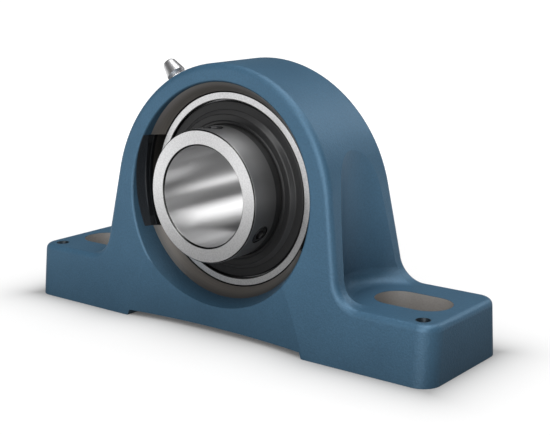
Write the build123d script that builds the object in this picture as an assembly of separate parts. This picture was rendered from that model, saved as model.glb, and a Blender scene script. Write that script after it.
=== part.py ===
from build123d import *
import os
from math import cos, radians, sin, sqrt, tan

# Pillow block bearing for a 30 mm shaft. Millimetres, X along the base, Y along the shaft, Z up.
# The origin is on the underside of the feet, halfway between them, below the middle of the ball track.

# Insert bearing
shaft_diameter = 30.0
ball_diameter = 9.525
ball_count = 9
outer_ring_diameter = 62.0
outer_ring_width = 18.0
outer_ring_edge = 0.6
pitch_inset = 8.0
outer_land_rise = 2.9
seal_step = 1.2
seal_recess = 3.0
inner_shoulder_drop = 3.2
inner_ring_front = 22.2
inner_ring_back = 15.9
inner_ring_edge = 0.4
bore_chamfer = 0.5
outer_groove_radius = 4.95
inner_groove_radius = 4.905
oil_hole_radius = 0.8
oil_hole_place = 5.0

# Housing casting
shaft_height = 42.9
base_depth = 40.0
crown_depth = 25.0
foot_height = 17.0
foot_end_reach = 17.25
foot_end_draft = 0.5
foot_corner_radius = 5.5
casting_edge_radius = 2.0
arch_wall = 10.1
arch_drop = 3.1
flank_angle = 9.1
flank_root_radius = 8.0
relief_half_length = 34.15
relief_height = 1.8
relief_slope = 0.75

# Hollows in the casting
dish_radius = 227.0
dish_depth = 2.7
dish_top_rise = 2.6
pocket_radius = 16.0
pocket_inset = 4.0
pocket_root_radius = 4.5
crescent_angle = 22.5
crescent_lip_radius = 0.8

# Bolt slots and dowel marks in the feet
bolt_spacing = 117.5
slot_width = 14.0
slot_length = 23.5
dowel_reach = 11.15
dowel_edge_distance = 6.4
dowel_mark_radius = 1.9
dowel_mark_depth = 2.0

# Spherical seat in the housing and the slots that the insert is turned in through
seat_overhang = 0.2
mouth_flare = 1.5
mouth_depth = 3.05
loading_slot_half_height = 14.35
loading_slot_clearance = 1.1
loading_slot_radius = 41.0
loading_slot_ledge = 0.45
loading_slot_ledge_place = 10.5
grease_groove_start = -1.4
grease_groove_end = 6.0
grease_groove_depth = 0.6

# Cage
cage_half_width = 1.5
cage_sheet = 0.6
rivet_radius = 0.7
rivet_head_radius = 1.2
rivet_head_height = 0.5

# Seals and flingers
seal_insert_thickness = 0.8
seal_insert_gap = 1.4
seal_rubber_thickness = 0.6
seal_rubber_inset = 0.8
seal_lip_edge = 0.4
flinger_rim_gap = 0.4
flinger_sheet = 0.7
flinger_gap = 0.5
flinger_slope_outer = 3.9
flinger_slope_inner = 1.8
flinger_rise = 1.6
flinger_inside_shift = 0.3
flinger_collar = 1.7

# Grub screws
grub_diameter = 6.0
grub_recess = 0.1
grub_end_distance = 5.5
grub_standoff = 0.5
grub_bevel = 0.5
grub_socket_flats = 3.0
grub_socket_depth = 2.0
grub_angles = [90.0, -30.0]

# Grease nipple
nipple_angle = 133.5
nipple_offset = 1.2
nipple_spot_radius = 5.2
nipple_spot_depth = 0.4
nipple_thread_radius = 3.0
nipple_thread_length = 5.2
nipple_thread_gap = 0.4
nipple_flats = 7.0
nipple_hex_height = 4.2
nipple_neck_radius = 2.2
nipple_neck_height = 0.7
nipple_head_radius = 3.1
nipple_head_height = 5.6
nipple_belly_height = 0.9
nipple_edge = 0.5
nipple_tip_radius = 2.1
nipple_bore_radius = 1.3
nipple_mouth_radius = 0.8
nipple_mouth_wall = 0.5
check_ball_radius = 1.2
spring_wire_radius = 0.16
spring_turns = 5
spring_side_gap = 0.1
duct_radius = 1.2

# Clearances
seat_clearance = 0.03
track_clearance = 0.02
pocket_clearance = 0.12
press_clearance = 0.02
lip_clearance = 0.05
thread_clearance = 0.03
cage_joint_gap = 0.02

# Radii and places worked out from the shaft axis outward
shaft_plane = Plane(origin=(0, 0, shaft_height), x_dir=(1, 0, 0), z_dir=(0, 0, 1))
shaft_axis = Axis((0, 0, shaft_height), (0, 1, 0))
bore_radius = shaft_diameter / 2
ball_radius = ball_diameter / 2
outer_sphere_radius = outer_ring_diameter / 2
pitch_radius = outer_sphere_radius - pitch_inset
shoulder_radius = pitch_radius - inner_shoulder_drop
outer_land_radius = pitch_radius + outer_land_rise
seal_bore_radius = outer_land_radius + seal_step
seal_seat_place = outer_ring_width / 2 - seal_recess
seal_insert_bore_radius = shoulder_radius + seal_insert_gap
seat_radius = outer_sphere_radius + seat_clearance
seat_half_width = outer_ring_width / 2 + seat_overhang
mouth_radius = outer_sphere_radius + mouth_flare
mouth_half_width = seat_half_width + mouth_depth
arch_radius = outer_sphere_radius + arch_wall
crown_height = shaft_height - arch_drop + arch_radius
half_base = bolt_spacing / 2 + foot_end_reach
face_slope = (base_depth - crown_depth) / 2 / crown_height
ball_angles = [90 + 360 / ball_count * k for k in range(ball_count)]
rivet_angles = [angle + 180 / ball_count for angle in ball_angles]


def turned(*points):
    """Turn a closed outline of (radius, place along Y) points about the shaft axis."""
    outline = make_face(Polyline(*points, close=True))
    return revolve(shaft_plane * outline, shaft_axis)


def on_shaft(shape):
    """Stand a shape made about Z on the shaft axis, with its +Z along -Y."""
    return Pos(0, 0, shaft_height) * Rot(X=90) * shape


def radial(angle, place):
    """Frame whose Z points outward from the shaft at an angle, with its X along the shaft."""
    away = (cos(radians(angle)), 0, sin(radians(angle)))
    return Plane(origin=(0, place, shaft_height), x_dir=(0, 1, 0), z_dir=away)


nipple_frame = radial(nipple_angle, nipple_offset)
arch_surface_place = (sqrt(arch_radius ** 2 - (arch_drop * cos(radians(nipple_angle))) ** 2)
                      - arch_drop * sin(radians(nipple_angle)))
nipple_seat_place = arch_surface_place - nipple_spot_depth


def front(shape):
    return mirror(shape, about=Plane.XZ)


def both_sides(shape):
    return [shape, mirror(shape, about=Plane.YZ)]


def housing_outline():
    """Front view of the casting: feet, sloping flanks and arch, with the underside relief."""
    arch_centre = shaft_height - arch_drop
    tangent = (arch_radius * cos(radians(flank_angle)),
               arch_centre + arch_radius * sin(radians(flank_angle)))
    flank_foot = tangent[0] + (tangent[1] - foot_height) * tan(radians(flank_angle))
    foot_top_end = half_base - foot_height * tan(radians(foot_end_draft))
    side = [(relief_half_length - relief_slope, relief_height), (relief_half_length, 0),
            (half_base, 0), (foot_top_end, foot_height), (flank_foot, foot_height), tangent]
    right = Polyline(*side)
    left = Polyline(*[(-x, z) for x, z in side])
    underside = Line(left @ 0, right @ 0)
    arch = ThreePointArc(right @ 1, (0, arch_centre + arch_radius), left @ 1)
    face = make_face(right + left + underside + arch)
    roots = [v for v in face.vertices() if abs(abs(v.X) - flank_foot) < 0.01 and v.Y > 1]
    return fillet(roots, flank_root_radius)


def housing_blank():
    """The outline drawn out along the shaft, tapered front and back, with its edges rounded."""
    block = extrude(Plane.XZ * housing_outline(), amount=base_depth / 2, both=True)
    taper = Polyline((base_depth / 2, 0), (crown_depth / 2, crown_height),
                     (-crown_depth / 2, crown_height), (-base_depth / 2, 0), close=True)
    block &= extrude(Plane.YZ * make_face(taper), amount=half_base, both=True)
    corners = [e for e in block.edges() if abs(e.center().X) > half_base - 2
               and e.bounding_box().size.Z > foot_height - 1]
    block = fillet(corners, foot_corner_radius)
    rim = [e for e in block.edges() if e.bounding_box().min.Z > foot_height - 0.01
           and (abs(e.center().X) > half_base - 2 or e.bounding_box().size.X > 0.01)]
    return fillet(rim, casting_edge_radius)


def seat_hollow():
    """Spherical seat, its machined mouths and the cast crescents that open out of them."""
    reach = base_depth / 2
    seat_edge = sqrt(seat_radius ** 2 - seat_half_width ** 2)
    crescent_edge = mouth_radius + (reach - mouth_half_width) * tan(radians(crescent_angle))
    mouth = [(0, reach), (crescent_edge, reach), (mouth_radius, mouth_half_width),
             (seat_edge, seat_half_width)]
    seat = ThreePointArc(mouth[3], (seat_radius, 0), (seat_edge, -seat_half_width))
    outline = Polyline(*mouth) + seat + Polyline(*[(x, -y) for x, y in mouth]) + Line((0, reach), (0, -reach))
    groove = turned((0, grease_groove_start), (seat_radius + grease_groove_depth, grease_groove_start),
                    (seat_radius + grease_groove_depth, grease_groove_end), (0, grease_groove_end))
    return revolve(shaft_plane * make_face(outline), shaft_axis) + groove


def crescent_lips(body):
    """Edges where the crescents open into the front and back faces."""
    def from_axis(point):
        return sqrt(point.X ** 2 + (point.Z - shaft_height) ** 2)

    return [e for e in body.edges() if all(abs((e @ k).Y) > mouth_half_width + 0.1
            and mouth_radius < from_axis(e @ k) < arch_radius - casting_edge_radius for k in (0, 0.3, 0.6))]


def loading_slots():
    """Front slots on both sides of the seat, through which the insert goes in before it is turned."""
    cuts = []
    outer_reach = outer_sphere_radius + loading_slot_clearance
    for reach, depth in ((outer_reach, -loading_slot_ledge_place), (outer_reach - loading_slot_ledge, 0)):
        offset = loading_slot_radius - reach
        lens = Pos(offset, 0) * Circle(loading_slot_radius) & Pos(-offset, 0) * Circle(loading_slot_radius)
        lens &= Rectangle(2 * reach, 2 * loading_slot_half_height)
        mouth = Plane(origin=(0, depth, shaft_height), x_dir=(1, 0, 0), z_dir=(0, -1, 0))
        cuts.append(extrude(mouth * lens, amount=base_depth / 2 + depth))
    return cuts


def flank_pockets():
    """Upright scoop in each flank that clears the bolt head."""
    height = crown_height - foot_height
    scoop = Cylinder(pocket_radius, height, align=(Align.CENTER, Align.CENTER, Align.MIN))
    scoop = fillet(scoop.edges().sort_by(Axis.Z)[0], pocket_root_radius)
    return both_sides(Pos(arch_radius - pocket_inset + pocket_radius, 0, foot_height) * scoop)


def face_dishes():
    """Shallow hollows between the feet on the front and back faces, running out above the shaft."""
    height = shaft_height + dish_top_rise
    growth = face_slope * height - dish_depth
    dish = Cone(dish_radius, dish_radius + growth, height, align=(Align.CENTER, Align.CENTER, Align.MIN))
    front_dish = Pos(0, dish_depth - base_depth / 2 - dish_radius, 0) * dish
    return [front_dish, front(front_dish)]


def foot_cuts():
    """Through slots for the base bolts, and the conical dowel marks near the front edge."""
    slot = Pos(bolt_spacing / 2, 0, 0) * extrude(SlotOverall(slot_length, slot_width), foot_height)
    mark = Cone(dowel_mark_radius / 2, dowel_mark_radius, dowel_mark_depth,
                align=(Align.CENTER, Align.CENTER, Align.MAX))
    mark = Pos(bolt_spacing / 2 + dowel_reach, dowel_edge_distance - base_depth / 2, foot_height) * mark
    return both_sides(slot) + both_sides(mark)


def nipple_cuts():
    """Spot face, threaded hole and duct from the arch down to the seat."""
    upward = (Align.CENTER, Align.CENTER, Align.MIN)
    spot = Pos(0, 0, nipple_seat_place) * Cylinder(nipple_spot_radius, arch_radius, align=upward)
    thread_end = nipple_seat_place - nipple_thread_length
    thread = Pos(0, 0, thread_end) * Cylinder(nipple_thread_radius, arch_radius, align=upward)
    duct = Pos(0, 0, seat_radius - 1) * Cylinder(duct_radius, arch_radius, align=upward)
    return [nipple_frame * cut for cut in (spot, thread, duct)]


def housing():
    body = housing_blank() - seat_hollow()
    body = fillet(crescent_lips(body), crescent_lip_radius)
    for cut in face_dishes() + flank_pockets() + loading_slots() + foot_cuts() + nipple_cuts():
        body -= cut
    return body


def ball_track(groove_radius, bottom_radius, inward):
    """Torus that cuts a ball groove whose bottom lies at a radius from the shaft axis."""
    centre = bottom_radius + groove_radius if inward else bottom_radius - groove_radius
    return on_shaft(Torus(centre, groove_radius))


def outer_ring():
    """Outer ring with a spherical outside, two seal seats, a ball groove and two oil holes."""
    half = outer_ring_width / 2
    edge = sqrt(outer_sphere_radius ** 2 - half ** 2)
    bore = Polyline((edge, -half), (seal_bore_radius, -half), (seal_bore_radius, -seal_seat_place),
                    (outer_land_radius, -seal_seat_place), (outer_land_radius, seal_seat_place),
                    (seal_bore_radius, seal_seat_place), (seal_bore_radius, half), (edge, half))
    outline = bore + ThreePointArc((edge, half), (outer_sphere_radius, 0), (edge, -half))
    ring = revolve(shaft_plane * make_face(outline), shaft_axis)
    rims = [e for e in ring.edges() if abs(abs(e.center().Y) - half) < 0.01
            and e.radius > seal_bore_radius + 1]
    ring = fillet(rims, outer_ring_edge)
    ring -= ball_track(outer_groove_radius, pitch_radius + ball_radius + track_clearance, False)
    drill = Cylinder(oil_hole_radius, 2 * outer_ring_diameter)
    return ring - radial(nipple_angle, oil_hole_place) * drill


def inner_ring():
    """Extended inner ring with its ball groove and the two threaded grub screw holes."""
    edge, chamfer = inner_ring_edge, bore_chamfer
    ring = turned((bore_radius, chamfer - inner_ring_front), (bore_radius + chamfer, -inner_ring_front),
                  (shoulder_radius - edge, -inner_ring_front), (shoulder_radius, edge - inner_ring_front),
                  (shoulder_radius, inner_ring_back - edge), (shoulder_radius - edge, inner_ring_back),
                  (bore_radius + chamfer, inner_ring_back), (bore_radius, inner_ring_back - chamfer))
    ring -= ball_track(inner_groove_radius, pitch_radius - ball_radius - track_clearance, True)
    hole = Cylinder(grub_diameter / 2, outer_ring_diameter, align=(Align.CENTER, Align.CENTER, Align.MIN))
    for angle in grub_angles:
        ring -= radial(angle, grub_end_distance - inner_ring_front) * hole
    return ring


def ball(angle):
    return radial(angle, 0) * Pos(0, 0, pitch_radius) * Sphere(ball_radius)


def cage_band(start, end):
    """Flat ring at the cage's radii, between two places along Y."""
    inner, outer = pitch_radius - cage_half_width, pitch_radius + cage_half_width
    return turned((inner, start), (outer, start), (outer, end), (inner, end))


def cage_half():
    """Back half of the pressed cage: a flat ring with a round pocket bulging over each ball."""
    pocket = ball_radius + pocket_clearance
    start = cage_joint_gap / 2
    half = cage_band(start, start + cage_sheet)
    reach = cage_band(start, ball_diameter)
    centres = [radial(angle, 0) * Pos(0, 0, pitch_radius) for angle in ball_angles]
    for centre in centres:
        half += reach & (centre * Sphere(pocket + cage_sheet))
    for centre in centres:
        half -= centre * Sphere(pocket)
    for angle in rivet_angles:
        hole = Rot(Y=90) * Cylinder(rivet_radius + press_clearance, 4 * cage_sheet)
        half -= radial(angle, 0) * Pos(0, 0, pitch_radius) * hole
    return half


def cage_rivets():
    """One rivet between each two pockets, domed at both ends."""
    face = cage_joint_gap / 2 + cage_sheet
    end = face + rivet_head_height
    profile = Polyline((0, -end), (rivet_head_radius / 2, -end), (rivet_head_radius, -face),
                       (rivet_radius, -face), (rivet_radius, face), (rivet_head_radius, face),
                       (rivet_head_radius / 2, end), (0, end), close=True)
    rivet = Pos(0, 0, pitch_radius) * Rot(Z=90) * revolve(make_face(profile), Axis.Y)
    return Compound([radial(angle, 0) * rivet for angle in rivet_angles])


def seal_insert():
    """Steel washer pressed into the back seal seat of the outer ring."""
    outer = seal_bore_radius - press_clearance
    end = seal_seat_place + seal_insert_thickness
    return turned((seal_insert_bore_radius, seal_seat_place), (outer, seal_seat_place),
                  (outer, end), (seal_insert_bore_radius, end))


def seal_rubber():
    """Moulded lip on the back steel washer, close round the inner ring."""
    lip = shoulder_radius + lip_clearance
    inner, outer = seal_insert_bore_radius, seal_bore_radius - seal_rubber_inset
    start, face = seal_seat_place, seal_seat_place + seal_insert_thickness
    end = face + seal_rubber_thickness
    return turned((inner, start), (inner, face), (outer, face), (outer, end),
                  (inner - seal_lip_edge, end), (lip, face), (lip, start + seal_lip_edge),
                  (inner - seal_lip_edge, start))


def flinger():
    """Back flinger, pressed on the inner ring: a flat rim, a sloping step and a collar."""
    rim = seal_bore_radius - flinger_rim_gap
    bend_outer, bend_inner = shoulder_radius + flinger_slope_outer, shoulder_radius + flinger_slope_inner
    collar = shoulder_radius + press_clearance
    start = seal_seat_place + seal_insert_thickness + seal_rubber_thickness + flinger_gap
    face = start + flinger_sheet
    crest = face + flinger_rise
    under = crest - flinger_sheet
    return turned((rim, start), (rim, face), (bend_outer, face), (bend_inner, crest), (collar, crest),
                  (collar, crest - flinger_collar), (collar + flinger_sheet, crest - flinger_collar),
                  (collar + flinger_sheet, under), (bend_inner - flinger_inside_shift, under),
                  (bend_outer - flinger_inside_shift, start))


def grub_screw(angle):
    """Socket set screw with a cup point, backed off so that the bore is free."""
    radius = grub_diameter / 2 - thread_clearance
    tip = bore_radius + grub_standoff
    top = shoulder_radius - grub_recess
    profile = Polyline((0, tip + grub_bevel), (radius - 2 * grub_bevel, tip), (radius, tip + grub_bevel),
                       (radius, top - grub_bevel), (radius - grub_bevel, top), (0, top), close=True)
    screw = revolve(make_face(Plane.XZ * profile), Axis.Z)
    socket = extrude(RegularPolygon(grub_socket_flats / 2, 6, major_radius=False), grub_socket_depth)
    screw -= Pos(0, 0, top - grub_socket_depth) * socket
    return radial(angle, grub_end_distance - inner_ring_front) * screw


def nipple_levels():
    """Places along the nipple's axis, from the shaft: seat, hexagon top, head start and tip."""
    hex_top = nipple_seat_place + nipple_hex_height
    head = hex_top + nipple_neck_height
    return nipple_seat_place, hex_top, head, head + nipple_head_height


def ball_rest():
    """Place of the check ball's centre when it closes the mouth of the nipple."""
    drop = sqrt(check_ball_radius ** 2 - nipple_mouth_radius ** 2)
    return nipple_levels()[3] - nipple_mouth_wall - drop - track_clearance


def grease_nipple():
    """Threaded shank, hexagon, neck and tapered head, bored for its check ball and spring."""
    seat, hex_top, head, tip = nipple_levels()
    shank = nipple_thread_radius - thread_clearance
    shank_end = seat - nipple_thread_length + nipple_thread_gap
    edge = nipple_edge
    profile = Polyline((0, shank_end), (shank - edge, shank_end), (shank, shank_end + edge), (shank, seat),
                       (nipple_neck_radius, seat), (nipple_neck_radius, head),
                       (nipple_head_radius - edge, head), (nipple_head_radius, head + nipple_belly_height),
                       (nipple_tip_radius, tip - edge), (nipple_tip_radius - edge, tip), (0, tip), close=True)
    body = revolve(make_face(Plane.XZ * profile), Axis.Z)
    upward = (Align.CENTER, Align.CENTER, Align.MIN)
    nut = extrude(RegularPolygon(nipple_flats / 2, 6, major_radius=False), nipple_hex_height)
    bevel = Cone(nipple_flats / 2 + nipple_hex_height, nipple_flats / 2, nipple_hex_height, align=upward)
    body += Pos(0, 0, seat) * (nut & bevel)
    bore = Cylinder(nipple_bore_radius, tip - nipple_mouth_wall - shank_end, align=upward)
    mouth = Cylinder(nipple_mouth_radius, tip - shank_end, align=upward)
    return nipple_frame * (body - Pos(0, 0, shank_end) * (bore + mouth))


def check_ball():
    return nipple_frame * Pos(0, 0, ball_rest()) * Sphere(check_ball_radius)


def check_spring():
    """Coil in the nipple's bore that holds the check ball against the mouth."""
    start = nipple_seat_place
    height = ball_rest() - check_ball_radius - spring_wire_radius - start
    coil = nipple_bore_radius - spring_wire_radius - spring_side_gap
    path = Helix(pitch=height / spring_turns, height=height, radius=coil)
    section = Plane(origin=path @ 0, z_dir=path % 0) * Circle(spring_wire_radius)
    return nipple_frame * Pos(0, 0, start) * sweep(section, path)


pieces = {
    "housing": housing(),
    "outer_ring": outer_ring(),
    "inner_ring": inner_ring(),
    "cage_front_half": front(cage_half()),
    "cage_back_half": cage_half(),
    "cage_rivets": cage_rivets(),
    "seal_insert_front": front(seal_insert()),
    "seal_insert_back": seal_insert(),
    "seal_lip_front": front(seal_rubber()),
    "seal_lip_back": seal_rubber(),
    "flinger_front": front(flinger()),
    "flinger_back": flinger(),
    "grease_nipple": grease_nipple(),
    "nipple_check_ball": check_ball(),
    "nipple_spring": check_spring(),
}
for number, angle in enumerate(ball_angles, start=1):
    pieces[f"ball_{number}"] = ball(angle)
for number, angle in enumerate(grub_angles, start=1):
    pieces[f"grub_screw_{number}"] = grub_screw(angle)

os.makedirs("parts", exist_ok=True)
for name, shape in pieces.items():
    export_step(shape, f"parts/{name}.step")
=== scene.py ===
import bmesh
import bpy
import math
from mathutils import Matrix, Vector


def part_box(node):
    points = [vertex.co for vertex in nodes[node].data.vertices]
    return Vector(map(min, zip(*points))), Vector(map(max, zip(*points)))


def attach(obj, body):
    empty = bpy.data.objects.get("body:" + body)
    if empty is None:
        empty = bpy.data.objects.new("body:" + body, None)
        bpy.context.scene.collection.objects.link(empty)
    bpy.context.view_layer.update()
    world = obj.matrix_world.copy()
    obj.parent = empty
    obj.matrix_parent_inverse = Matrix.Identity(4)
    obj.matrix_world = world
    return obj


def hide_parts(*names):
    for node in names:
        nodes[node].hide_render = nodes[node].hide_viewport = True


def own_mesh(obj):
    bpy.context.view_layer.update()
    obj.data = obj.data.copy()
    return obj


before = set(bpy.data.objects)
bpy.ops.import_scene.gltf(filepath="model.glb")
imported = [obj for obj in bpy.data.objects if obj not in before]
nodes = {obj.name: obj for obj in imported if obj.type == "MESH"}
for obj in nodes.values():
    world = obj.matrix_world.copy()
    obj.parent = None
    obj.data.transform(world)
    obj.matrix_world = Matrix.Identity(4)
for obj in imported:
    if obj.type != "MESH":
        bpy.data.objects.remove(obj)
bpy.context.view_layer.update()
print("frame loaded with", len(nodes), "nodes")

scene = bpy.context.scene
scene.view_settings.view_transform = "Standard"

mm = 0.001
shaftHeight = sum(corner[2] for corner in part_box("outer_ring")) / 2  # the shaft axis runs along Y


# Node helpers: a value may be a number, a colour or another node's output
def plug(tree, socket, value):
    if isinstance(value, bpy.types.NodeSocket):
        tree.links.new(value, socket)
    else:
        socket.default_value = value


def addNode(tree, kind, inputs=None, **settings):
    made = tree.nodes.new("ShaderNode" + kind)
    for key, value in settings.items():
        setattr(made, key, value)
    for key, value in (inputs or {}).items():
        plug(tree, made.inputs[key], value)
    return made


def calc(tree, operation, *values):
    made = addNode(tree, "Math", dict(enumerate(values)), operation=operation)
    return made.outputs[0]


def plus(tree, first, second):
    return calc(tree, "ADD", first, second)


def minus(tree, first, second):
    return calc(tree, "SUBTRACT", first, second)


def times(tree, first, *others):
    for other in others:
        first = calc(tree, "MULTIPLY", first, other)
    return first


def largest(tree, first, *others):
    for other in others:
        first = calc(tree, "MAXIMUM", first, other)
    return first


def absolute(tree, value):
    return calc(tree, "ABSOLUTE", value)


def vector(tree, x=0.0, y=0.0, z=0.0):
    return addNode(tree, "CombineXYZ", {0: x, 1: y, 2: z}).outputs[0]


def lengthOf(tree, value):
    return addNode(tree, "VectorMath", {0: value}, operation="LENGTH").outputs["Value"]


def ramp(tree, value, low, high, start=0.0, end=1.0):
    inputs = {0: value, 1: low, 2: high, 3: start, 4: end}
    return addNode(tree, "MapRange", inputs, interpolation_type="SMOOTHSTEP").outputs[0]


# 1 on one side of a limit and 0 on the other, with a change that is twice as wide as soft
def below(tree, value, limit, soft=0.02 * mm):
    return ramp(tree, value, limit - soft, limit + soft, 1, 0)


def above(tree, value, limit, soft=0.02 * mm):
    return ramp(tree, value, limit - soft, limit + soft)


def mixColour(tree, factor, first, second, blend="MIX"):
    inputs = {0: factor, 6: first, 7: second}
    return addNode(tree, "Mix", inputs, data_type="RGBA", blend_type=blend).outputs[2]


def mixNumber(tree, factor, first, second):
    return addNode(tree, "Mix", {0: factor, 2: first, 3: second}, data_type="FLOAT").outputs[0]


def shaded(tree, colour, share):
    return addNode(tree, "VectorMath", {0: colour, 3: share}, operation="SCALE").outputs[0]


def rgb(colour):
    return (*colour, 1.0)


def noise(tree, where, scale, detail=3.0, roughness=0.5):
    inputs = {"Vector": where, "Scale": scale, "Detail": detail, "Roughness": roughness}
    return addNode(tree, "TexNoise", inputs).outputs[0]


def stretch(tree, pattern, start=0.0, end=1.0):
    return ramp(tree, pattern, 0.3, 0.7, start, end)  # noise seldom leaves 0.3 to 0.7


def mottled(tree, pattern, colour, spread):
    darker = [(1 - spread) * c for c in colour]
    lighter = [min(1, (1 + spread) * c) for c in colour]
    return mixColour(tree, pattern, rgb(darker), rgb(lighter))


def bump(tree, height, strength, depth):
    return addNode(tree, "Bump", {"Height": height, "Strength": strength, "Distance": depth}).outputs[0]


def occlusion(tree, reach):
    return addNode(tree, "AmbientOcclusion", {"Distance": reach}, samples=8).outputs["AO"]


def newMaterial(name):
    material = bpy.data.materials.new(name)
    material.use_nodes = True
    tree = material.node_tree
    return material, tree, tree.nodes["Principled BSDF"]


def placeInFrame(tree):
    where = addNode(tree, "TexCoord").outputs["Object"]
    parts = addNode(tree, "SeparateXYZ", {0: where}).outputs
    return where, parts[0], parts[1], parts[2]


def fromShaft(tree, x, z):
    up = minus(tree, z, shaftHeight)
    return lengthOf(tree, vector(tree, x, up)), up, calc(tree, "ARCTAN2", up, x)


# Fine lines that a lathe leaves round the shaft axis
def turningMarks(tree, y, angle, perMetre, perRadian, detail, roughness=0.5):
    lines = vector(tree, times(tree, y, perMetre), times(tree, angle, perRadian))
    return noise(tree, lines, 1, detail, roughness)


# Camera, set where the photograph was taken from
camera = {
    "place": (219.94 * mm, -272.81 * mm, 112.88 * mm),
    "azimuth": 37.613,  # degrees round the object from straight in front
    "elevation": 12.880,
    "roll": -0.068,
    "lens": 76.60,
    "sensor": 36,
}


def makeCamera():
    data = bpy.data.cameras.new("camera")
    data.lens = camera["lens"]
    data.sensor_width = camera["sensor"]
    data.clip_start = 10 * mm
    made = bpy.data.objects.new("camera", data)
    scene.collection.objects.link(made)
    turn = Matrix.Rotation(math.radians(camera["azimuth"]), 4, "Z")
    turn @= Matrix.Rotation(math.radians(90 - camera["elevation"]), 4, "X")
    turn @= Matrix.Rotation(math.radians(camera["roll"]), 4, "Z")
    made.matrix_world = Matrix.Translation(camera["place"]) @ turn
    scene.camera = made


makeCamera()
print("camera placed")

# Housing: satin blue paint on a sand casting, bare where a tool has cut it
castingLook = {
    "paint": (0.052, 0.138, 0.228),
    "paintWorn": (0.058, 0.151, 0.247),
    "wornPatches": 60,  # per metre
    "paintFlake": 0.30,  # share of the paint that shines in its own colour
    "paintRoughness": 0.48,
    "paintSheen": (0.78, 0.90, 1.0),  # tint of the highlights on the paint
    "paintGloss": 0.95,
    "grain": 1900,  # per metre
    "grainDepth": 0.12 * mm,
    "grainBite": 0.7,
    "grainShade": (0.93, 1.07),
    "nookReach": 35 * mm,
    "nookPaintedShade": 0.30,  # painted shade: how dark the paint is made in its deepest corners
    "crescentPaintedShade": (0.72, 0.95),  # painted shade: how dark the crescents are made at the bottom and at the rim
    "crescentSlope": math.tan(math.radians(22.5)),  # outward for each length along the shaft
    "crescentRim": 35.2 * mm,
    "crescentBand": (0.05 * mm, 0.30 * mm),  # the painted shade fades out this far from the cone
    "machined": (0.172, 0.155, 0.138),
    "machinedSpread": 0.2,
    "machinedMetal": 0.6,
    "machinedRoughness": 0.42,
    "turning": (5000, 3),  # turning marks per metre along the shaft, and per radian
    "turningDepth": 0.4,
    "mouthRadius": 32.5 * mm,
    "mouthHalf": 12.25 * mm,  # the seat's mouth is this far in front of and behind the middle
    "mouthSlack": (0.06 * mm, 0.01 * mm),  # the bare metal reaches this far past it, outward and along
    # painted reflection: the bare mouth darkens towards its outer edge at the bottom and is lighter at the
    # top
    "mouthEdgeShade": (0.085, 0.080, 0.076),
    "mouthShadeFrom": 30.6 * mm,
    "mouthTopLight": (0.330, 0.312, 0.294),
    "mouthLightBand": (8 * mm, 30 * mm),  # heights above the shaft, over which the painted light comes in
    # painted shade: the loading slots are coloured near black
    "loadingSlotShade": (0.020, 0.020, 0.021),
    "loadingHalf": 14.38 * mm,  # half the height of a loading slot
    "loadingFrom": 9.235 * mm,  # its back wall is this far in front of the middle
    "loadingArc": 41 * mm,  # radius of its end
    "loadingReach": 32.14 * mm,  # the end's distance from the axis
    "lip": (0.020, 0.022, 0.026),  # painted shade: a dark band beside each loading slot
    "lipReach": 33.55 * mm,
    "slotWall": (0.30, 0.28, 0.262),
    "slotPlace": 58.75 * mm,  # the foot slot's middle, from the shaft
    "slotStraight": 4.75 * mm,  # from there to the centre of its round end
    "slotRadius": 7.04 * mm,
    "slotTop": 16.94 * mm,
    "mark": (0.004, 0.010, 0.016),  # painted shade inside the two dowel marks
    "markPlace": (69.9 * mm, -13.6 * mm),
    "markRadius": 2.1 * mm,
    "markBottom": 14.25 * mm,
    "underside": (0.17, 0.16, 0.15),
    "undersideTo": 0.035 * mm,
}


def onCrescents(tree, radius, along):  # cones that widen from the mouth of the seat to the faces
    look = castingLook
    outward = times(tree, minus(tree, along, look["mouthHalf"]), look["crescentSlope"])
    away = absolute(tree, minus(tree, radius, plus(tree, outward, look["mouthRadius"])))
    return ramp(tree, away, *look["crescentBand"], 1, 0)


def inLoadingSlots(tree, sideways, up, y):
    look = castingLook
    chord = calc(tree, "SQRT", minus(tree, look["loadingArc"] ** 2, times(tree, up, up)))
    end = minus(tree, chord, look["loadingArc"] - look["loadingReach"])
    inFront = below(tree, y, -look["loadingFrom"], soft=0.015 * mm)
    return times(tree, inFront, calc(tree, "LESS_THAN", sideways, end))


def inFootSlots(tree, sideways, y, z):
    look = castingLook
    past = minus(tree, absolute(tree, minus(tree, sideways, look["slotPlace"])), look["slotStraight"])
    away = lengthOf(tree, vector(tree, largest(tree, past, 0.0), y))
    return times(tree, below(tree, away, look["slotRadius"]),
                 below(tree, z, look["slotTop"], soft=0.04 * mm))


def inMarks(tree, sideways, y, z):
    look = castingLook
    placeX, placeY = look["markPlace"]
    away = lengthOf(tree, vector(tree, minus(tree, sideways, placeX), minus(tree, y, placeY)))
    return times(tree, below(tree, away, look["markRadius"], soft=0.1 * mm),
                 above(tree, z, look["markBottom"], soft=0.25 * mm))


def paintColour(tree, where, grain, radius, crescent):
    look = castingLook
    patches = stretch(tree, noise(tree, where, look["wornPatches"], 2))
    paint = mixColour(tree, patches, rgb(look["paint"]), rgb(look["paintWorn"]))
    paint = shaded(tree, paint, stretch(tree, grain, *look["grainShade"]))
    # Painted shade in the crescents, darkest at the mouth of the seat
    deep = ramp(tree, radius, look["mouthRadius"], look["crescentRim"], *look["crescentPaintedShade"])
    paint = shaded(tree, paint, mixNumber(tree, crescent, 1.0, deep))
    # Painted shade: the paint is darkened where ambient occlusion finds corners and pockets
    openness = occlusion(tree, look["nookReach"])
    return shaded(tree, paint, ramp(tree, openness, 0.0, 1.0, look["nookPaintedShade"], 1.0))


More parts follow.
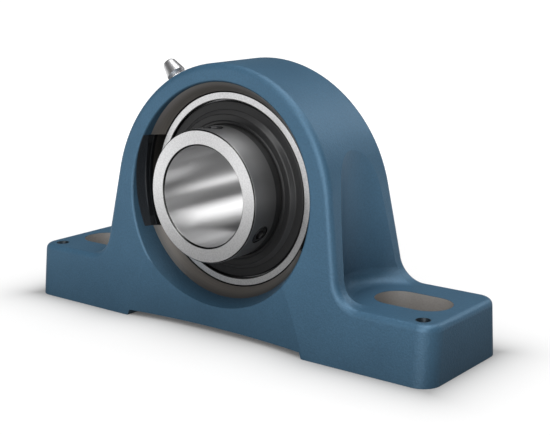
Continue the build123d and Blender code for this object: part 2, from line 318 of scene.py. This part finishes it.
def machinedColour(tree, turning, radius, up):
    look = castingLook
    machined = mottled(tree, turning, look["machined"], look["machinedSpread"])
    # Painted reflection on the mouth's outer edge: darker below, lighter at the top
    height = ramp(tree, up, *look["mouthLightBand"])
    edge = mixColour(tree, height, rgb(look["mouthEdgeShade"]), rgb(look["mouthTopLight"]))
    return mixColour(tree, ramp(tree, radius, look["mouthShadeFrom"], look["mouthRadius"]), machined, edge)


def castingMaterial():
    material, tree, shader = newMaterial("housingPaint")
    look = castingLook
    where, x, y, z = placeInFrame(tree)
    radius, up, angle = fromShaft(tree, x, z)
    sideways, along = absolute(tree, x), absolute(tree, y)
    grain = noise(tree, where, look["grain"], 4)
    turning = turningMarks(tree, y, angle, *look["turning"], 3)

    slackOut, slackAlong = look["mouthSlack"]
    inMouth = times(tree, below(tree, radius, look["mouthRadius"] + slackOut),
                    below(tree, along, look["mouthHalf"] + slackAlong))
    crescent = onCrescents(tree, radius, along)
    paint = paintColour(tree, where, grain, radius, crescent)
    colour = mixColour(tree, inMouth, paint, machinedColour(tree, turning, radius, up))

    besideShaft = below(tree, absolute(tree, up), look["loadingHalf"])
    inLoading = times(tree, besideShaft, inLoadingSlots(tree, sideways, up, y))
    # Painted shade in the loading slots
    colour = mixColour(tree, inLoading, colour, rgb(look["loadingSlotShade"]))
    # Painted shade: a dark band on the crescents beside each loading slot
    lip = times(tree, crescent, besideShaft, below(tree, radius, look["lipReach"], soft=0.05 * mm),
                calc(tree, "LESS_THAN", y, 0))
    colour = mixColour(tree, lip, colour, rgb(look["lip"]))

    inSlot = inFootSlots(tree, sideways, y, z)
    slotWall = mottled(tree, grain, look["slotWall"], look["machinedSpread"])
    colour = mixColour(tree, inSlot, colour, slotWall)
    # Painted shade inside the two dowel marks
    colour = mixColour(tree, inMarks(tree, sideways, y, z), colour, rgb(look["mark"]))
    underside = below(tree, z, look["undersideTo"], soft=0.015 * mm)
    colour = mixColour(tree, underside, colour, rgb(look["underside"]))
    plug(tree, shader.inputs["Base Color"], colour)

    bare = largest(tree, inMouth, inSlot, underside)
    metal = mixNumber(tree, bare, look["paintFlake"], 0.0)
    plug(tree, shader.inputs["Metallic"], mixNumber(tree, inMouth, metal, look["machinedMetal"]))
    rough = mixNumber(tree, bare, look["paintRoughness"], look["machinedRoughness"])
    plug(tree, shader.inputs["Roughness"], rough)
    shader.inputs["Specular IOR Level"].default_value = look["paintGloss"]
    shader.inputs["Specular Tint"].default_value = rgb(look["paintSheen"])
    height = mixNumber(tree, bare, grain, times(tree, turning, look["turningDepth"]))
    plug(tree, shader.inputs["Normal"], bump(tree, height, look["grainBite"], look["grainDepth"]))
    return material


# Rings: ground end faces, a polished bore, dark bands at the edges, one of them painted shade, and a darker
# outside on the inner ring
ringLook = {
    "ground": (0.73, 0.73, 0.735),
    "groundRoughness": 0.30,
    "groundShade": (0.86, 1.1),
    "speckle": 2200,  # per metre
    "speckleBite": 0.5,
    "bore": (0.70, 0.70, 0.705),
    "boreTo": 15.03 * mm,
    "boreRoughness": (0.24, 0.12),  # at least, and how much the turning marks add
    "outside": (0.42, 0.42, 0.425),
    "outsideFrom": 19.73 * mm,
    "outsideTo": 20.3 * mm,
    "outsideRoughness": 0.42,
    "unground": 0.42,  # the outside is not ground beside the flinger: its share of the colour there
    "groundFrom": 12.5 * mm,
    "turning": (7000, 6),  # turning marks per metre along the shaft, and per radian
    "turningBite": 0.12,
    "brushed": 0.6,  # how far the turning marks spread the highlights
    "biteDepth": 0.03 * mm,
    "faces": (-22.2, -9.0, 9.0, 15.9),  # places of the ground faces along the shaft, mm
    "faceSkin": 0.045 * mm,  # what is nearer to such a place belongs to the face
    "edge": (0.05, 0.05, 0.05),
    "edges": ((15.03, 15.46), (19.42, 19.78), (27.0, 27.35), (29.18, 31.1)),  # radii of the dark bands, mm; the one from 27.0 to 27.35 is painted shade standing in for a chamfer on the outer ring's inner edge
}


def onGroundFaces(tree, y):
    flat = 0.0
    for face in ringLook["faces"]:
        away = absolute(tree, minus(tree, y, face * mm))
        flat = largest(tree, flat, below(tree, away, ringLook["faceSkin"], soft=0.015 * mm))
    return flat


def onDarkEdgeBands(tree, radius):
    dull = 0.0
    for inner, outer in ringLook["edges"]:
        away = absolute(tree, minus(tree, radius, (inner + outer) / 2 * mm))
        dull = largest(tree, dull, below(tree, away, (outer - inner) / 2 * mm))
    return dull


# Highlights spread across the turning marks: outward on a face, along the shaft elsewhere
def markDirection(tree, flat, x, up):
    lined = mixColour(tree, flat, rgb((0, 1, 0)), vector(tree, x, z=up))
    lined = addNode(tree, "VectorTransform", {0: lined}, vector_type="VECTOR", convert_from="OBJECT",
                    convert_to="WORLD").outputs[0]
    return addNode(tree, "VectorMath", {0: lined}, operation="NORMALIZE").outputs[0]


def ringMaterial():
    material, tree, shader = newMaterial("ringSteel")
    look = ringLook
    where, x, y, z = placeInFrame(tree)
    radius, up, angle = fromShaft(tree, x, z)
    flat = onGroundFaces(tree, y)
    inBore = below(tree, radius, look["boreTo"], soft=0.01 * mm)
    outside = times(tree, above(tree, radius, look["outsideFrom"], soft=0.03 * mm),
                    below(tree, radius, look["outsideTo"], soft=0.1 * mm))
    speckle = noise(tree, where, look["speckle"], 5, 0.7)
    lines = turningMarks(tree, y, angle, *look["turning"], 4, 0.6)

    colour = mixColour(tree, inBore, rgb(look["ground"]), rgb(look["bore"]))
    ground = shaded(tree, colour, stretch(tree, speckle, *look["groundShade"]))
    colour = mixColour(tree, flat, colour, ground)
    # Dark bands at the edges; the one on the outer ring's inner edge is painted shade
    colour = mixColour(tree, onDarkEdgeBands(tree, radius), colour, rgb(look["edge"]))
    fade = above(tree, absolute(tree, y), look["groundFrom"], soft=0.2 * mm)
    share = mixNumber(tree, fade, look["unground"], 1.0)
    colour = mixColour(tree, outside, colour, shaded(tree, look["outside"], share))
    plug(tree, shader.inputs["Base Color"], colour)

    shader.inputs["Metallic"].default_value = 1.0
    least, added = look["boreRoughness"]
    rough = mixNumber(tree, inBore, look["groundRoughness"], plus(tree, times(tree, lines, added), least))
    rough = mixNumber(tree, outside, rough, look["outsideRoughness"])
    plug(tree, shader.inputs["Roughness"], rough)
    shader.inputs["Anisotropic"].default_value = look["brushed"]
    plug(tree, shader.inputs["Tangent"], markDirection(tree, flat, x, up))
    height = mixNumber(tree, flat, lines, speckle)
    bite = mixNumber(tree, flat, look["turningBite"], look["speckleBite"])
    plug(tree, shader.inputs["Normal"], bump(tree, height, bite, look["biteDepth"]))
    return material


# Flingers: dark coating, glossier on the sloping step, which is also coloured paler as a painted highlight
flingerLook = {
    "flat": (0.006, 0.006, 0.0065),
    "flatRoughness": 0.40,
    # painted highlight: the sloping step is coloured paler than the flat
    "step": (0.040, 0.040, 0.041),
    "stepRoughness": 0.30,
    "stepFrom": 22.95 * mm,
    "stepTo": 24.0 * mm,
    "fleck": (0.008, 0.008, 0.008),  # added where the grain stands out
    "grain": 2400,  # per metre
    "grainDepth": 0.02 * mm,
    "grainBite": 0.3,
    "gloss": 0.45,
}


def flingerMaterial():
    material, tree, shader = newMaterial("flingerCoat")
    look = flingerLook
    where, x, y, z = placeInFrame(tree)
    radius = fromShaft(tree, x, z)[0]
    onStep = times(tree, above(tree, radius, look["stepFrom"], soft=0.1 * mm),
                   below(tree, radius, look["stepTo"], soft=0.1 * mm))
    grain = noise(tree, where, look["grain"], 4, 0.6)
    colour = mixColour(tree, onStep, rgb(look["flat"]), rgb(look["step"]))
    plug(tree, shader.inputs["Base Color"], mixColour(tree, grain, colour, rgb(look["fleck"]), "ADD"))
    rough = mixNumber(tree, onStep, look["flatRoughness"], look["stepRoughness"])
    plug(tree, shader.inputs["Roughness"], rough)
    shader.inputs["Specular IOR Level"].default_value = look["gloss"]
    plug(tree, shader.inputs["Normal"], bump(tree, grain, look["grainBite"], look["grainDepth"]))
    return material


# Plain finishes: colour, metalness, roughness, grain per metre and how deep it bites
finishes = {
    "ball_steel": {"colour": (0.78, 0.78, 0.79), "metal": 1.0, "rough": 0.08, "grain": 4000, "bite": 0.03},
    "cage_steel": {"colour": (0.42, 0.42, 0.43), "metal": 1.0, "rough": 0.36, "grain": 2200, "bite": 0.2},
    "seal_steel": {"colour": (0.33, 0.33, 0.34), "metal": 1.0, "rough": 0.40, "grain": 2200, "bite": 0.2},
    "seal_rubber": {"colour": (0.012, 0.012, 0.012), "metal": 0.0, "rough": 0.55, "grain": 1800, "bite": 0.3},
    "black_steel": {"colour": (0.16, 0.16, 0.165), "metal": 1.0, "rough": 0.42, "grain": 2600, "bite": 0.2},
    "plated_steel": {"colour": (0.62, 0.62, 0.63), "metal": 1.0, "rough": 0.38, "grain": 2400, "bite": 0.15},
    "spring_steel": {"colour": (0.45, 0.45, 0.46), "metal": 1.0, "rough": 0.28, "grain": 5000, "bite": 0.1},
}
plainSpread = 0.12  # how far the grain changes colour and roughness
plainDepth = 0.02 * mm


def plainMaterial(name, look):
    material, tree, shader = newMaterial(name)
    where = addNode(tree, "TexCoord").outputs["Object"]
    grain = noise(tree, where, look["grain"], 3, 0.6)
    plug(tree, shader.inputs["Base Color"], mottled(tree, grain, look["colour"], plainSpread))
    shader.inputs["Metallic"].default_value = look["metal"]
    uneven = times(tree, minus(tree, grain, 0.5), plainSpread)
    plug(tree, shader.inputs["Roughness"], plus(tree, uneven, look["rough"]))
    plug(tree, shader.inputs["Normal"], bump(tree, grain, look["bite"], plainDepth))
    return material


materials = {
    "housing_paint": castingMaterial(),
    "ring_steel": ringMaterial(),
    "flinger_coat": flingerMaterial(),
}
for slotName, look in finishes.items():
    materials[slotName] = plainMaterial(slotName, look)
for piece in nodes.values():
    for material in piece.material_slots:
        material.material = materials[material.material.name]
print("finishes given to the frame's nodes")


# A finished mesh becomes a piece that rides on a body and stands for the CAD nodes it replaces
def addPiece(shape, body, slotName, stands, name, smoothUnder):
    mesh = bpy.data.meshes.new(name)
    shape.to_mesh(mesh)
    shape.free()
    mesh.shade_smooth()
    mesh.set_sharp_from_angle(angle=math.radians(smoothUnder))
    made = bpy.data.objects.new(mesh.name, mesh)
    scene.collection.objects.link(made)
    made.data.materials.append(materials[slotName])
    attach(made, body)
    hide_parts(*stands)
    return made


# Turns a piece that was made upright until it points away from the shaft at an angle, at a place along it
def pointAt(degrees, along):
    return Matrix.Translation((0, along, shaftHeight)) @ Matrix.Rotation(math.radians(90 - degrees), 4, "Y")


# Flingers: pressed sheet with a flat rim, a sloping step, a flat top and a bead that grips the inner ring
pressing = {
    # radius, distance from the middle of the bearing, and how far the corner is rounded, mm
    "corners": ((26.70, 8.60, 0.40), (24.05, 8.60, 0.25), (22.90, 10.00, 0.30), (21.00, 9.92, 0.15),
                (20.80, 10.18, 0.15), (19.84, 10.18, 0.30), (19.84, 8.50, 0.00), (20.50, 8.50, 0.00),
                (20.50, 9.30, 0.10), (22.45, 9.30, 0.20), (23.55, 7.92, 0.20), (26.70, 7.92, 0.10)),
    "roundSteps": 4,
    "steps": 160,
    "smoothUnder": 40,  # degrees
}


def makeFlinger(node, side):
    shape = bmesh.new()
    corners = []
    for radius, away, rounding in pressing["corners"]:
        corners.append(shape.verts.new((radius * mm, side * away * mm, 0)))
    shape.faces.new(corners)
    for corner, (radius, away, rounding) in zip(corners, pressing["corners"]):
        if rounding:
            bmesh.ops.bevel(shape, geom=[corner], offset=rounding * mm, offset_type="OFFSET",
                            affect="VERTICES", segments=pressing["roundSteps"], profile=0.5, material=-1)
    bmesh.ops.delete(shape, geom=shape.faces[:], context="FACES_ONLY")
    bmesh.ops.spin(shape, geom=shape.verts[:] + shape.edges[:], cent=(0, 0, 0), axis=(0, 1, 0),
                   angle=math.tau, steps=pressing["steps"], use_merge=True, use_duplicate=False)
    bmesh.ops.recalc_face_normals(shape, faces=shape.faces[:])
    bmesh.ops.translate(shape, verts=shape.verts[:], vec=(0, 0, shaftHeight))
    addPiece(shape, "inner_ring", "flinger_coat", (node,), node + "Pressing", pressing["smoothUnder"])


makeFlinger("flinger_front", -1)
makeFlinger("flinger_back", 1)
print("flingers pressed")

# Grub screws: a rolled thread, a bevelled cup end and a hexagon socket
grub = {
    "crest": 2.95 * mm,
    "root": 2.50 * mm,
    "pitch": 0.80 * mm,
    "thread": ((0.00, "crest"), (0.12, "crest"), (0.50, "root"), (0.62, "root")),  # places in one pitch
    "spare": 1.5,  # pitches of thread past each end, before the ends are cut
    "tip": 15.5 * mm,  # from the shaft axis, at rest
    "top": 19.7 * mm,
    "bevel": 0.50 * mm,
    "cup": 1.5 * mm,  # radius of the hollow in the tip
    "cupDepth": 0.7 * mm,
    "cupNarrow": 0.3,  # share of that radius at its bottom
    "cupSides": 24,
    "socket": 1.732 * mm,  # radius to the corners of the hexagon
    "socketDepth": 2.0 * mm,
    "socketSides": 6,
    "along": -16.7 * mm,  # place along the shaft
    "angles": {"grub_screw_1": 90, "grub_screw_2": -30},
    "steps": 48,
    "smoothUnder": 30,  # degrees
}


def threadOutline(shape):
    last = None
    turns = int((grub["top"] - grub["tip"]) / grub["pitch"] + 2 * grub["spare"])
    for turn in range(turns):
        for share, level in grub["thread"]:
            height = grub["tip"] + (turn + share - grub["spare"]) * grub["pitch"]
            vert = shape.verts.new((grub[level], 0, height))
            if last:
                shape.edges.new((last, vert))
            last = vert


def bevelEnds(shape):
    for vert in shape.verts:
        limit = grub["crest"] - grub["bevel"] + min(vert.co.z - grub["tip"], grub["top"] - vert.co.z)
        reach = math.hypot(vert.co.x, vert.co.y)
        if reach > limit:
            vert.co.x, vert.co.y = vert.co.x * limit / reach, vert.co.y * limit / reach


# Closes an end of the screw with a flat face and a hollow in it
def sinkHollow(shape, height, radius, depth, sides, narrow=1.0):
    outer = [edge for edge in shape.edges
             if edge.is_boundary and all(abs(v.co.z - height) < 0.001 * mm for v in edge.verts)]
    ring = bmesh.ops.create_circle(shape, segments=sides, radius=radius, cap_ends=False,
                                   matrix=Matrix.Translation((0, 0, height)))
    corners = set(ring["verts"])
    rim = [edge for edge in shape.edges if set(edge.verts) <= corners]
    bmesh.ops.triangle_fill(shape, edges=outer + rim, use_beauty=True)
    wall = bmesh.ops.extrude_edge_only(shape, edges=rim)["geom"]
    for vert in [item for item in wall if isinstance(item, bmesh.types.BMVert)]:
        vert.co = (vert.co.x * narrow, vert.co.y * narrow, height + depth)
    bottomEdges = [item for item in wall if isinstance(item, bmesh.types.BMEdge)]
    bottom = bmesh.ops.contextual_create(shape, geom=bottomEdges)
    bmesh.ops.poke(shape, faces=bottom["faces"])


def makeGrubScrew(node, degrees):
    shape = bmesh.new()
    threadOutline(shape)
    bmesh.ops.spin(shape, geom=shape.verts[:] + shape.edges[:], cent=(0, 0, 0), axis=(0, 0, 1),
                   angle=math.tau, dvec=(0, 0, grub["pitch"] / grub["steps"]), steps=grub["steps"],
                   use_duplicate=False)
    bmesh.ops.remove_doubles(shape, verts=shape.verts[:], dist=0.002 * mm)
    for height, side in ((grub["tip"], -1), (grub["top"], 1)):
        bmesh.ops.bisect_plane(shape, geom=shape.verts[:] + shape.edges[:] + shape.faces[:],
                               plane_co=(0, 0, height), plane_no=(0, 0, side), clear_outer=True)
    bevelEnds(shape)
    sinkHollow(shape, grub["top"], grub["socket"], -grub["socketDepth"], grub["socketSides"])
    sinkHollow(shape, grub["tip"], grub["cup"], grub["cupDepth"], grub["cupSides"], grub["cupNarrow"])
    bmesh.ops.remove_doubles(shape, verts=shape.verts[:], dist=0.001 * mm)
    bmesh.ops.recalc_face_normals(shape, faces=shape.faces[:])
    shape.transform(pointAt(degrees, grub["along"]))
    addPiece(shape, node, "black_steel", (node,), node + "Threaded", grub["smoothUnder"])


for screwName, degrees in grub["angles"].items():
    makeGrubScrew(screwName, degrees)
print("grub screws threaded")

# Spring behind the nipple's check ball: a round wire
coil = {
    "wire": 0.16 * mm,  # radius of the wire
    "wireSides": 10,
    "radius": 1.04 * mm,
    "start": 38.396 * mm,  # from the shaft axis
    "height": 7.72 * mm,
    "turns": 5,
    "steps": 32,
    "degrees": 133.5,  # the nipple's direction round the shaft
    "along": 1.2 * mm,  # place along the shaft
    "smoothUnder": 40,  # degrees
    "pressed": 0.895,  # share of its length that is left with the ball pushed in
}


def makeSpring(node):
    shape = bmesh.new()
    onRadius = Matrix.Translation((coil["radius"], 0, 0)) @ Matrix.Rotation(math.pi / 2, 4, "X")
    bmesh.ops.create_circle(shape, segments=coil["wireSides"], radius=coil["wire"], cap_ends=False,
                            matrix=onRadius)
    steps = coil["turns"] * coil["steps"]
    bmesh.ops.spin(shape, geom=shape.verts[:] + shape.edges[:], cent=(0, 0, 0), axis=(0, 0, 1),
                   angle=coil["turns"] * math.tau, dvec=(0, 0, coil["height"] / steps), steps=steps,
                   use_duplicate=False)
    bmesh.ops.holes_fill(shape, edges=[edge for edge in shape.edges if edge.is_boundary], sides=0)
    bmesh.ops.recalc_face_normals(shape, faces=shape.faces[:])
    toShaft = pointAt(coil["degrees"], coil["along"])
    shape.transform(toShaft @ Matrix.Translation((0, 0, coil["start"])))
    made = addPiece(shape, "housing", "spring_steel", (node,), node + "Wound", coil["smoothUnder"])
    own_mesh(made)


makeSpring("nipple_spring")
print("spring wound")

# Floor, backdrop and light
studio = {
    "floorHalf": 3.0,
    "floorColour": 0.28,  # what the camera sees of it in the lamps' light, besides its glow
    "floorBounce": 0.45,  # the floor's colour as the object's lower faces see it
    "contactShadowDepth": 0.57,  # painted shadow: how much darker the floor is made right beside the feet
    "contactReach": 8.0 * mm,
    "reliefHalf": 34.15 * mm,  # half the length of the relief under the base
    "reliefFade": (0.5, 1.3),  # shares of that, between which its light fades out
    "reliefLight": 4.5 * mm,  # the painted shadow starts this far in under the middle of the base, where light reaches in
    "underShadowGlow": 0.25,  # painted shadow: share of the glow that is left under the base
    "underReach": 6 * mm,
    "underOpen": 0.4,  # the floor is at full brightness from this openness
    "floorGlow": (0.76, 1.0),  # near the object and far from it
    "glowBand": (110 * mm, 280 * mm),
    "shadowedFloorInGloss": 0.12,  # painted shadow in reflections: the floor's colour in reflections close to the housing
    "glossBand": (120 * mm, 300 * mm),
    "shadowedFloorInMetal": (0.10, 1.0),  # painted shadow in reflections: how bright metal and gloss see the floor, near and far
    "metalBand": (100 * mm, 320 * mm),
    "ambient": (0.34, 0.06),  # the room is darker on the side of the near end face
    "ambientBand": (-0.3, 0.7),  # directions from left to right
    "mirrored": (0.22, 0.03),  # what gloss sees at the horizon and overhead
    "mirroredBand": (0.12, 0.45),  # heights of the direction
    "backdrop": 1.0,
    "aim": (0, 0, 40 * mm),  # the lamps point here
}
lamps = {  # metres and watts
    "front": {"place": (0.34, -0.78, 0.30), "size": (0.26, 0.60), "power": 2.25},
    "frontLeft": {"place": (0.02, -0.85, 0.35), "size": (0.26, 0.60), "power": 1.65},
    "top": {"place": (0.12, 0.04, 0.93), "size": (0.60, 0.60), "power": 3.8},
    "crown": {"place": (0.20, -0.47, 0.72), "size": (0.45, 0.25), "power": 1.2},
    "topBack": {"place": (0.15, 0.45, 0.80), "size": (0.50, 0.50), "power": 0.6},
    "back": {"place": (0.26, 0.70, 0.47), "size": (0.45, 0.30), "power": 1.0},
}
white = (1, 1, 1, 1)
baseHalf = [max(abs(low), abs(high)) for low, high in zip(*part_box("housing"))][:2]


# Painted contact shadow: how much darker the floor is made near the base, less so where light comes in
# through the relief
def paintedContactShadow(tree, where):
    parts = addNode(tree, "SeparateXYZ", {0: where}).outputs
    across, deep = absolute(tree, parts[0]), absolute(tree, parts[1])
    fadeFrom, fadeTo = [share * studio["reliefHalf"] for share in studio["reliefFade"]]
    letIn = ramp(tree, across, fadeFrom, fadeTo, studio["reliefLight"], 0.0)
    outX = largest(tree, minus(tree, across, baseHalf[0]), 0)
    outY = largest(tree, plus(tree, minus(tree, deep, baseHalf[1]), letIn), 0)
    away = lengthOf(tree, vector(tree, outX, outY))
    fall = calc(tree, "EXPONENT", calc(tree, "DIVIDE", away, -studio["contactReach"]))
    return times(tree, fall, studio["contactShadowDepth"])


def floorMaterial():
    material, tree, shader = newMaterial("floor")
    path = addNode(tree, "LightPath").outputs
    where = addNode(tree, "TexCoord").outputs["Object"]
    distance = lengthOf(tree, where)
    # Painted shadow in reflections: gloss sees the floor darker close to the housing
    shadowedMirroredGrey = ramp(tree, distance, *studio["glossBand"], studio["shadowedFloorInGloss"], studio["floorBounce"])
    grey = mixNumber(tree, path["Is Glossy Ray"], studio["floorBounce"], shadowedMirroredGrey)
    grey = mixNumber(tree, path["Is Camera Ray"], grey, studio["floorColour"])
    greyColour = addNode(tree, "CombineColor", {0: grey, 1: grey, 2: grey}).outputs[0]
    plug(tree, shader.inputs["Base Color"], greyColour)
    shader.inputs["Roughness"].default_value = 1.0
    shader.inputs["Specular IOR Level"].default_value = 0.0

    bright = ramp(tree, distance, *studio["glowBand"], *studio["floorGlow"])
    # Painted shadows on the floor: a contact shadow by the base, and a shadow under it where ambient
    # occlusion finds it hemmed in
    openness = occlusion(tree, studio["underReach"])
    under = ramp(tree, openness, 0.0, studio["underOpen"], studio["underShadowGlow"], 1.0)
    glow = times(tree, under, minus(tree, bright, paintedContactShadow(tree, where)))
    # Painted shadow in reflections: metal and gloss see the floor's glow dimmer close to the housing
    mirrored = ramp(tree, distance, *studio["metalBand"], *studio["shadowedFloorInMetal"])
    strength = plus(tree, times(tree, path["Is Camera Ray"], glow),
                    times(tree, path["Is Glossy Ray"], mirrored))
    shader.inputs["Emission Color"].default_value = white
    plug(tree, shader.inputs["Emission Strength"], strength)
    return material


def makeFloor():
    mesh = bpy.data.meshes.new("floor")
    shape = bmesh.new()
    bmesh.ops.create_grid(shape, x_segments=1, y_segments=1, size=studio["floorHalf"])
    shape.to_mesh(mesh)
    shape.free()
    floor = bpy.data.objects.new("floor", mesh)
    scene.collection.objects.link(floor)
    mesh.materials.append(floorMaterial())


def makeWorld():
    world = bpy.data.worlds.new("studio")
    scene.world = world
    world.use_nodes = True
    tree = world.node_tree
    background = tree.nodes["Background"]
    path = addNode(tree, "LightPath").outputs
    seen = largest(tree, path["Is Camera Ray"], path["Is Transmission Ray"])
    direction = addNode(tree, "TexCoord").outputs["Generated"]
    parts = addNode(tree, "SeparateXYZ", {0: direction}).outputs
    mirrored = ramp(tree, parts[2], *studio["mirroredBand"], *studio["mirrored"])
    ambient = ramp(tree, parts[0], *studio["ambientBand"], *studio["ambient"])
    strength = mixNumber(tree, path["Is Glossy Ray"], ambient, mirrored)
    background.inputs["Color"].default_value = white
    plug(tree, background.inputs["Strength"], mixNumber(tree, seen, strength, studio["backdrop"]))


def makeLamp(name, lamp):
    data = bpy.data.lights.new(name, "AREA")
    data.shape = "RECTANGLE"
    data.size, data.size_y = lamp["size"]
    data.energy = lamp["power"]
    made = bpy.data.objects.new(name, data)
    scene.collection.objects.link(made)
    made.location = lamp["place"]
    toAim = Vector(studio["aim"]) - Vector(lamp["place"])
    made.rotation_euler = toAim.to_track_quat("-Z", "Y").to_euler()


makeFloor()
makeWorld()
for name, lamp in lamps.items():
    makeLamp(name, lamp)
print("floor and lights made")
